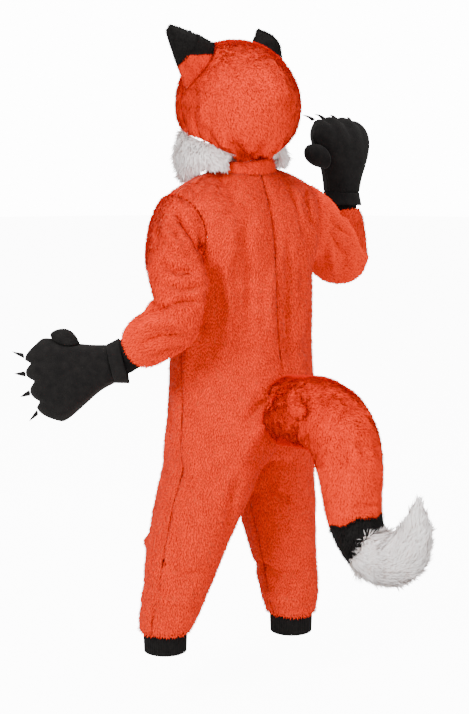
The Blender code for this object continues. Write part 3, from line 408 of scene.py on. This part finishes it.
def pileTree(blade, pile, area):
    tree = bpy.data.node_groups.new("pile", "GeometryNodeTree")
    tree.interface.new_socket("Geometry", in_out="INPUT", socket_type="NodeSocketGeometry")
    tree.interface.new_socket("Geometry", in_out="OUTPUT", socket_type="NodeSocketGeometry")
    start = addNode(tree, "NodeGroupInput")
    points = addNode(
        tree, "GeometryNodeDistributePointsOnFaces",
        {"Mesh": start.outputs[0], "Density": pile["blades"] / area, "Seed": pile["seed"]},
    )
    normal = points.outputs["Normal"]
    nap = addNode(tree, "GeometryNodeInputNamedAttribute", {"Name": "nap"}, data_type="FLOAT_VECTOR")
    place = addNode(tree, "GeometryNodeInputPosition")
    clump = addNode(
        tree, "ShaderNodeTexNoise",
        {"Vector": place.outputs[0], "Scale": 1 / (pile["clumpSize"] * mm), "Detail": 1.0},
        noise_dimensions="3D",
    )
    middle = addNode(
        tree, "ShaderNodeVectorMath", {0: clump.outputs["Color"], 1: (0.5, 0.5, 0.5)}, operation="SUBTRACT"
    )
    clumped = addNode(
        tree, "ShaderNodeVectorMath", {0: middle.outputs[0], "Scale": pile["clump"]}, operation="SCALE"
    )
    spread = pile["spread"]
    stray = addNode(
        tree, "FunctionNodeRandomValue",
        {"Min": (-spread,) * 3, "Max": (spread,) * 3, "Seed": pile["seed"] + 1}, data_type="FLOAT_VECTOR",
    )
    lay = addNode(
        tree, "ShaderNodeVectorMath", {0: nap.outputs["Attribute"], 1: clumped.outputs[0]}, operation="ADD"
    )
    lay = addNode(tree, "ShaderNodeVectorMath", {0: lay.outputs[0], 1: stray.outputs[0]}, operation="ADD")
    upright = addNode(
        tree, "ShaderNodeVectorMath", {0: normal, "Scale": 1 / math.tan(math.radians(pile["lean"]))},
        operation="SCALE",
    )
    way = addNode(
        tree, "ShaderNodeVectorMath", {0: lay.outputs[0], 1: upright.outputs[0]}, operation="ADD"
    )
    along = addNode(
        tree, "FunctionNodeAlignRotationToVector", {"Vector": way.outputs[0]}, axis="Z", pivot_axis="AUTO"
    )
    facing = addNode(
        tree, "FunctionNodeAlignRotationToVector", {"Rotation": along.outputs[0], "Vector": normal},
        axis="Y", pivot_axis="Z",
    )
    reach = addNode(
        tree, "FunctionNodeRandomValue",
        {2: 0.7 * pile["length"] * mm, 3: 1.15 * pile["length"] * mm, "Seed": pile["seed"] + 2},
        data_type="FLOAT",
    )
    full = addNode(tree, "GeometryNodeInputNamedAttribute", {"Name": "fullness"}, data_type="FLOAT")
    size = addNode(
        tree, "ShaderNodeMath", {0: reach.outputs[1], 1: full.outputs["Attribute"]}, operation="MULTIPLY"
    )
    tuft = addNode(tree, "GeometryNodeObjectInfo", {"Object": blade})
    placed = addNode(
        tree, "GeometryNodeInstanceOnPoints",
        {
            "Points": points.outputs["Points"],
            "Instance": tuft.outputs["Geometry"],
            "Rotation": facing.outputs[0],
            "Scale": size.outputs[0],
        },
    )
    real = addNode(tree, "GeometryNodeRealizeInstances", {0: placed.outputs[0]})
    addNode(tree, "NodeGroupOutput", {0: real.outputs[0]})
    return tree


def growPile(name, cloth, napAt, pile, blade, material, fullAt=None):
    # a separate piece of pile on the cloth's outer face, leaning along the nap
    bm = bmesh.new()
    bm.from_mesh(cloth.data)
    bmesh.ops.delete(bm, geom=[face for face in bm.faces if face.material_index != 0], context="FACES")
    area = sum(face.calc_area() for face in bm.faces)
    napLayer = bm.verts.layers.float_vector.new("nap")
    fullLayer = bm.verts.layers.float.new("fullness")
    for vert in bm.verts:
        nap = napAt(vert.co)
        nap = nap - vert.normal * nap.dot(vert.normal)
        vert[napLayer] = nap.normalized() if nap.length > 1e-6 else nap
        vert[fullLayer] = fullAt(vert.co) if fullAt else 1.0
    mesh = bpy.data.meshes.new(name)
    bm.to_mesh(mesh)
    bm.free()
    obj = bpy.data.objects.new(name, mesh)
    bpy.context.scene.collection.objects.link(obj)
    grow = obj.modifiers.new("pile", "NODES")
    grow.node_group = pileTree(blade, pile, area)
    depsgraph = bpy.context.evaluated_depsgraph_get()
    grown = bpy.data.meshes.new_from_object(obj.evaluated_get(depsgraph))
    obj.modifiers.clear()
    obj.data = grown
    bpy.data.meshes.remove(mesh)
    grown.name = name
    for extra in ("nap", "fullness"):
        if extra in grown.attributes:
            grown.attributes.remove(grown.attributes[extra])
    if fullAt:
        # blades where the pile has another colour have no size, and are taken off
        sized = bmesh.new()
        sized.from_mesh(grown)
        flatFaces = [face for face in sized.faces if face.calc_area() < 1e-12]
        bmesh.ops.delete(sized, geom=flatFaces, context="FACES")
        sized.to_mesh(grown)
        sized.free()
    grown.materials.clear()
    grown.materials.append(material)
    return obj


# ---- materials


def startMaterial(name, roughness, sheen, sheenColour):
    material = bpy.data.materials.new(name)
    material.use_nodes = True
    tree = material.node_tree
    shader = tree.nodes["Principled BSDF"]
    shader.inputs["Roughness"].default_value = roughness
    shader.inputs["Specular IOR Level"].default_value = 0.12
    shader.inputs["Sheen Weight"].default_value = sheen
    shader.inputs["Sheen Roughness"].default_value = 0.5
    shader.inputs["Sheen Tint"].default_value = linear(sheenColour)
    return material, tree, shader


def pileMaterial(name, root, tip, mottle, sheen=0.15, sheenColour="#ffffff"):
    # polyester fibres, with painted shade at the roots: each blade runs from a darker root colour, the
    # shade between the blades, to the fibre's own colour towards the tip, in soft patches
    material, tree, shader = startMaterial(name, 0.85, sheen, sheenColour)
    coords = addNode(tree, "ShaderNodeTexCoord")
    height = addNode(tree, "ShaderNodeAttribute", attribute_name="tip")
    patches = addNode(
        tree, "ShaderNodeTexNoise",
        {"Vector": coords.outputs["Object"], "Scale": 1 / (22 * mm), "Detail": 3.0, "Roughness": 0.6},
    )
    share = addNode(
        tree, "ShaderNodeMapRange",
        {
            "Value": patches.outputs["Fac"],
            "From Min": 0.3,
            "From Max": 0.7,
            "To Min": -mottle,
            "To Max": mottle,
        },
    )
    mixed = addNode(
        tree, "ShaderNodeMath", {0: height.outputs["Fac"], 1: share.outputs["Result"]}, operation="ADD",
        use_clamp=True,
    )
    # painted shade: the ramp darkens each blade towards its root, where the blades shade each other, and
    # reaches the fibre's own colour at three quarters of its length
    colour = addNode(tree, "ShaderNodeValToRGB", {"Fac": mixed.outputs[0]})
    colour.color_ramp.elements[0].color = linear(root)
    colour.color_ramp.elements[1].color = linear(tip)
    colour.color_ramp.elements[0].position = 0.0
    colour.color_ramp.elements[1].position = 0.75
    tree.links.new(colour.outputs["Color"], shader.inputs["Base Color"])
    return material


def backingMaterial(name, dark, light, stitch):
    # the warp-knit ground of the plush: fine wales about 1.4 mm apart, seen inside and at the roots
    material, tree, shader = startMaterial(name, 0.9, 0.1, "#ffffff")
    coords = addNode(tree, "ShaderNodeTexCoord")
    wales = addNode(
        tree, "ShaderNodeTexWave",
        {"Vector": coords.outputs["Object"], "Scale": 1 / (stitch * mm) / math.tau, "Distortion": 1.5},
        wave_type="BANDS", bands_direction="DIAGONAL",
    )
    patches = addNode(
        tree, "ShaderNodeTexNoise",
        {"Vector": coords.outputs["Object"], "Scale": 1 / (30 * mm), "Detail": 2.0},
    )
    colour = addNode(
        tree, "ShaderNodeMix", {"Factor": patches.outputs["Fac"], "A": linear(dark), "B": linear(light)},
        data_type="RGBA",
    )
    tree.links.new(colour.outputs["Result"], shader.inputs["Base Color"])
    bump = addNode(
        tree, "ShaderNodeBump", {"Height": wales.outputs["Fac"], "Strength": 0.4, "Distance": 0.3 * mm}
    )
    tree.links.new(bump.outputs["Normal"], shader.inputs["Normal"])
    return material


def napMaterial(name, dark, light, fibre, bumpDepth, sheen, sheenColour="#ffffff"):
    # a brushed cloth such as fleece or felt: matted fibres, no weave to be seen
    material, tree, shader = startMaterial(name, 0.92, sheen, sheenColour)
    coords = addNode(tree, "ShaderNodeTexCoord")
    fibres = addNode(
        tree, "ShaderNodeTexNoise",
        {"Vector": coords.outputs["Object"], "Scale": 1 / (fibre * mm), "Detail": 4.0, "Roughness": 0.7},
    )
    patches = addNode(
        tree, "ShaderNodeTexNoise",
        {"Vector": coords.outputs["Object"], "Scale": 1 / (fibre * 8 * mm), "Detail": 2.0},
    )
    both = addNode(
        tree, "ShaderNodeMath", {0: fibres.outputs["Fac"], 1: patches.outputs["Fac"]}, operation="MULTIPLY"
    )
    share = addNode(
        tree, "ShaderNodeMapRange", {"Value": both.outputs[0], "From Min": 0.12, "From Max": 0.42}
    )
    colour = addNode(
        tree, "ShaderNodeMix", {"Factor": share.outputs["Result"], "A": linear(dark), "B": linear(light)},
        data_type="RGBA",
    )
    tree.links.new(colour.outputs["Result"], shader.inputs["Base Color"])
    bump = addNode(
        tree, "ShaderNodeBump",
        {"Height": fibres.outputs["Fac"], "Strength": 0.6, "Distance": bumpDepth * mm},
    )
    tree.links.new(bump.outputs["Normal"], shader.inputs["Normal"])
    return material


# each pile's first colour is painted shade at the fibre roots, its second the fibre's own colour
orangePile = pileMaterial("polyesterPlushOrange", "#b01600", "#ff3600", 0.10, 0.02, "#ff8a60")
blackPile = pileMaterial("polyesterPlushBlack", "#050404", "#1a1817", 0.10, 0.08, "#8a8684")
whitePile = pileMaterial("longPileFurWhite", "#ead9d3", "#fffdfc", 0.10, 0.1)
orangeBacking = backingMaterial("plushBackingOrange", "#b52608", "#d83c16", 1.4)
blackBacking = backingMaterial("plushBackingBlack", "#0b0a0a", "#1a1817", 1.4)
whiteBacking = backingMaterial("furBackingWhite", "#cfc2bb", "#e6dcd6", 1.4)
blackFleece = napMaterial("polyesterFleeceBlack", "#0b0a0a", "#191716", 1.6, 0.6, 0.08, "#9a9693")
blackFelt = napMaterial("pressedFeltBlack", "#0a0909", "#1c1a1a", 0.9, 0.3, 0.15, "#8a8684")
blackKnit = napMaterial("acrylicRibKnitBlack", "#090808", "#171514", 0.8, 0.4, 0.06, "#8f8b88")
earLining = napMaterial("velourLiningPale", "#e4bdb0", "#f6e4dc", 1.2, 0.4, 0.3)
print("materials made")

# ---- which way the nap runs


def napDown(place):
    return Vector((0.0, 0.0, -1.0))


def napUp(place):
    return Vector((0.0, 0.0, 1.0))


def napBack(place):
    return Vector((0.0, 0.55, -0.85))


# from the shoulder to the wrist, and from the seat to the tail's tip
armPlaces = {
    "left": ((0.15, 0.0, -0.10), (0.18, 0.045, -0.145), (0.187, 0.06, -0.22), (0.22, -0.02, -0.29)),
    "right": ((-0.15, 0, -0.10), (-0.23, -0.03, -0.145), (-0.30, -0.06, -0.18), (-0.313, -0.08, -0.09)),
}
armLines = {label: [Vector(place) for place in places] for label, places in armPlaces.items()}
tailLine = [
    Vector((0.0, y, z))
    for y, z in (
        (0.132, -0.408), (0.222, -0.402), (0.281, -0.468), (0.288, -0.52), (0.298, -0.566),
        (0.322, -0.604), (0.366, -0.62), (0.414, -0.602), (0.440, -0.556), (0.442, -0.508),
    )
]


def alongLine(line):
    def napAt(place):
        def near(k):
            a, b = line[k], line[k + 1]
            share = min(max((place - a).dot(b - a) / (b - a).length_squared, 0.0), 1.0)
            return (place - a.lerp(b, share)).length

        k = min(range(len(line) - 1), key=near)
        return (line[k + 1] - line[k]).normalized()

    return napAt


# ---- blades and pieces
plushPile = {
    "blades": 60000,
    "length": 6.5,
    "lean": 64,
    "spread": 0.35,
    "clump": 0.9,
    "clumpSize": 11,
    "seed": 1,
}
plushBlade = makeBlade("plushBlade", 1, 0.42, 0.0)
furBlade = makeBlade("furBlade", 3, 0.17, 0.22)


def setMaterials(piece, *materials):
    piece.data.materials.clear()
    for material in materials:
        piece.data.materials.append(material)


def standIn(piece, slotName, nodeName=None):
    # a piece rides on the costume's one body, and takes the place of its plain solid
    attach(piece, "root")
    if nodeName:
        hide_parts(nodeName)


def walledCloth(nodeName, ending, seamDepth, lumps, backing):
    bm = mergedCopy(nodeName)
    markWalls(bm)
    cloth = smoothed(nodeName + ending, bm, clothFinish["smoothLevels"])
    shapeCloth(cloth, seamDepth=seamDepth, lumps=lumps)
    setMaterials(cloth, backing, backing)
    return cloth


def orangePlush(nodeName, flat, area, napAt, blades, seamDepth):
    cloth = walledCloth(nodeName, "_plush", seamDepth, 1.2, orangeBacking)
    pile = growPile(
        nodeName + "_pile", cloth, napAt, dict(plushPile, blades=blades), plushBlade, orangePile
    )
    standIn(cloth, "orange_plush", nodeName)
    standIn(pile, "orange_plush")


# ---- the jumpsuit
suitPieces = {
    # node: flat width, length and area of the cut, nap, blades, depth of the seams in mm
    "back_left": ((0.24, 0.84), 0.150, napDown, 60000, 2.0),
    "back_right": ((0.24, 0.84), 0.150, napDown, 60000, 2.0),
    "front_left": ((0.24, 0.84), 0.150, napDown, 42000, 2.0),
    "front_right": ((0.24, 0.84), 0.150, napDown, 42000, 2.0),
    "sleeve_left": ((0.40, 0.32), 0.090, alongLine(armLines["left"]), 40000, 2.0),
    "sleeve_right": ((0.40, 0.34), 0.100, alongLine(armLines["right"]), 46000, 2.0),
    "collar": ((0.40, 0.019), None, napDown, 8000, 0.6),
}
for nodeName, (flat, area, napAt, blades, seamDepth) in suitPieces.items():
    orangePlush(nodeName, flat, area, napAt, blades, seamDepth)

placket = smoothed("back_placket_cloth", mergedCopy("back_placket"), 1)
setMaterials(placket, orangeBacking)
standIn(placket, "orange_plush", "back_placket")
print("jumpsuit dressed")

# ---- the hood
hoodPieces = {
    "hood_crown": ((0.42, 0.36), 0.110, 60000),
    "hood_band": ((0.34, 0.06), None, 19000),
}
for nodeName, (flat, area, blades) in hoodPieces.items():
    orangePlush(nodeName, flat, area, napBack, blades, 2.2)

cheekFur = {
    "blades": 8500,
    "length": 15,
    "lean": 58,
    "spread": 0.5,
    "clump": 2.2,
    "clumpSize": 14,
    "seed": 31,
}
for label in ("left", "right"):
    nodeName = "cheek_" + label
    cloth = walledCloth(nodeName, "_fur", 1.0, 2.0, whiteBacking)
    pile = growPile(nodeName + "_pile", cloth, napBack, cheekFur, furBlade, whitePile)
    standIn(cloth, "white_fur", nodeName)
    standIn(pile, "white_fur")
print("hood dressed")

# ---- ears: orange backs that turn black towards the tip, pale linings, black tips
earPile = dict(plushPile, length=5.5, seed=41)
earBlack = {"left": 0.62, "right": 0.30}  # the black starts at this share of the back's height


def fullWithin(low, high):
    # blades only between two heights
    def fullAt(place):
        return 1.0 if low <= place.z < high else 0.0

    return fullAt


for label in ("left", "right"):
    for part, backing, slotName in (
        ("back", orangeBacking, "orange_plush"),
        ("inner", earLining, "ear_lining"),
        ("tip", blackBacking, "black_plush"),
    ):
        nodeName = "ear_" + part + "_" + label
        cloth = smoothed(nodeName + "_cloth", mergedCopy(nodeName), 2)
        setMaterials(cloth, backing)
        standIn(cloth, slotName, nodeName)
        low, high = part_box(nodeName)
        dyeLine = low.z + earBlack[label] * (high.z - low.z)
        grown = {
            # ending of the name: blades, material, slot, where they stand
            "back": {
                "_pile": (5000, orangePile, "orange_plush", fullWithin(-math.inf, dyeLine)),
                "_blackPile": (10000, blackPile, "black_plush", fullWithin(dyeLine, math.inf)),
            },
            "inner": {},
            "tip": {"_pile": (6000, blackPile, "black_plush", None)},
        }[part]
        for ending, (blades, material, pileSlot, fullAt) in grown.items():
            pileSizes = dict(earPile, blades=blades)
            pile = growPile(nodeName + ending, cloth, napUp, pileSizes, plushBlade, material, fullAt)
            standIn(pile, pileSlot)
print("ears dressed")

# ---- the stuffed tail
tailPile = dict(plushPile, length=7.5, clump=1.1, clumpSize=15, seed=51)
bandPile = dict(tailPile, blades=15000, length=8)
tipFur = {
    "blades": 11000,
    "length": 17,
    "lean": 66,
    "spread": 0.35,
    "clump": 1.8,
    "clumpSize": 18,
    "seed": 61,
}
for nodeName, backing, material, slotName, pileSizes, blade in (
    ("tail", orangeBacking, orangePile, "orange_plush", dict(tailPile, blades=56000), plushBlade),
    ("tail_band", blackBacking, blackPile, "black_plush", bandPile, plushBlade),
    ("tail_tip", whiteBacking, whitePile, "white_fur", tipFur, furBlade),
):
    cloth = smoothed(nodeName + "_plush", mergedCopy(nodeName), 2)
    shapeCloth(cloth, seamDepth=0.0, lumps=1.6)
    setMaterials(cloth, backing)
    pile = growPile(nodeName + "_pile", cloth, alongLine(tailLine), pileSizes, blade, material)
    standIn(cloth, slotName, nodeName)
    standIn(pile, slotName)
print("tail dressed")

# ---- rib knit cuffs
ribKnit = {"ribs": 56, "depth": 0.7}


def cuffAxis(points, upright):
    # the way through a cuff: near upright at the ankles, else the one whose span stands out
    ways = np.linalg.eigh(np.cov(points.T))[1]
    if upright:
        return ways[:, np.argmax(np.abs(ways[2]))]
    spans = [np.ptp(points @ way) for way in ways.T]
    return ways[:, int(np.argmin([abs(spans[k] - spans[(k + 1) % 3]) for k in range(3)]) + 2) % 3]


def knitCuff(nodeName, upright):
    bm = mergedCopy(nodeName)
    bmesh.ops.smooth_vert(
        bm, verts=bm.verts[:], factor=0.5, use_axis_x=True, use_axis_y=True, use_axis_z=True
    )
    cuff = smoothed(nodeName + "_knit", bm, 3)
    points = readPoints(cuff.data)
    centre = points.mean(0)
    axis = cuffAxis(points - centre, upright)
    side = np.cross(axis, [1.0, 0.0, 0.0] if abs(axis[0]) < 0.8 else [0.0, 1.0, 0.0])
    side /= np.linalg.norm(side)
    other = np.cross(axis, side)
    level = points - centre - ((points - centre) @ axis)[:, None] * axis
    turn = np.arctan2(level @ other, level @ side)
    out = level / np.linalg.norm(level, axis=1)[:, None]
    points += out * (ribKnit["depth"] * mm * np.cos(ribKnit["ribs"] * turn))[:, None]
    cuff.data.vertices.foreach_set("co", points.ravel())
    cuff.data.update()
    setMaterials(cuff, blackKnit)
    standIn(cuff, "black_knit", nodeName)


for label in ("left", "right"):
    knitCuff("wrist_cuff_" + label, False)
    knitCuff("ankle_cuff_" + label, True)
print("cuffs dressed")

# ---- paw mitts
mittFlat = {"back": (0.15, 0.16), "palm": (0.15, 0.16), "thumb": (0.083, 0.047), "hem": (0.22, 0.03)}
for label in ("left", "right"):
    for part, flat in mittFlat.items():
        nodeName = "mitt_" + part + "_" + label
        cloth = smoothed(nodeName + "_fleece", mergedCopy(nodeName), 2)
        setMaterials(cloth, blackFleece)
        standIn(cloth, "black_fleece", nodeName)
    for k in range(1, 5):
        nodeName = "claw_" + label + "_" + str(k)
        claw = smoothed(nodeName + "_felt", mergedCopy(nodeName), 2)
        setMaterials(claw, blackFelt)
        standIn(claw, "black_felt", nodeName)
print("mitts dressed")

for blade in (plushBlade, furBlade):
    bpy.data.objects.remove(blade)

# ---- a plain pale floor and soft studio light
studio = {"floor": -0.94, "floorColour": "#fbfaf9", "light": 0.72, "backdrop": 14.0, "floorGlow": 11.0}
bm = bmesh.new()
bmesh.ops.create_circle(bm, cap_ends=True, segments=64, radius=9.0)
bmesh.ops.translate(bm, verts=bm.verts[:], vec=(0, 0, studio["floor"]))
floorMesh = bpy.data.meshes.new("floor")
bm.to_mesh(floorMesh)
bm.free()
floor = bpy.data.objects.new("floor", floorMesh)
bpy.context.scene.collection.objects.link(floor)
floorMaterial, floorTree, floorShader = startMaterial("paintedStudioFloor", 0.8, 0.0, "#ffffff")
floorShader.inputs["Base Color"].default_value = linear(studio["floorColour"])
# the floor fades into the plain pale backdrop instead of ending in a line
floorSeen = addNode(floorTree, "ShaderNodeLightPath")
floorGlow = addNode(
    floorTree, "ShaderNodeMapRange",
    {"Value": floorSeen.outputs["Is Camera Ray"], "To Max": studio["floorGlow"]},
)
floorShader.inputs["Emission Color"].default_value = (1, 1, 1, 1)
floorTree.links.new(floorGlow.outputs["Result"], floorShader.inputs["Emission Strength"])
floorMesh.materials.append(floorMaterial)

world = bpy.data.worlds.new("studio")
bpy.context.scene.world = world
world.use_nodes = True
worldTree = world.node_tree
seen = addNode(worldTree, "ShaderNodeLightPath")
worldLight = addNode(
    worldTree, "ShaderNodeMapRange",
    {"Value": seen.outputs["Is Camera Ray"], "To Min": studio["light"], "To Max": studio["backdrop"]},
)
backdrop = worldTree.nodes["Background"]
backdrop.inputs["Color"].default_value = (1, 1, 1, 1)
worldTree.links.new(worldLight.outputs["Result"], backdrop.inputs["Strength"])


def softbox(name, place, aim, size, watts):
    light = bpy.data.lights.new(name, "AREA")
    light.shape = "DISK"
    light.size = size
    light.energy = watts
    lamp = bpy.data.objects.new(name, light)
    bpy.context.scene.collection.objects.link(lamp)
    lamp.location = place
    lamp.rotation_mode = "QUATERNION"
    lamp.rotation_quaternion = (Vector(aim) - Vector(place)).to_track_quat("-Z", "Y")


waist = Vector((0.0, 0.0, -0.3))
softbox("keyLight", waist + cameraBack * 2.6 - cameraRight * 2.0 + Vector((0, 0, 1.9)), waist, 1.3, 190)
softbox("fillLight", waist + cameraBack * 2.4 + cameraRight * 2.4 + Vector((0, 0, 0.8)), waist, 2.2, 70)
softbox("topLight", waist + Vector((0, 0, 2.6)), waist, 2.0, 60)
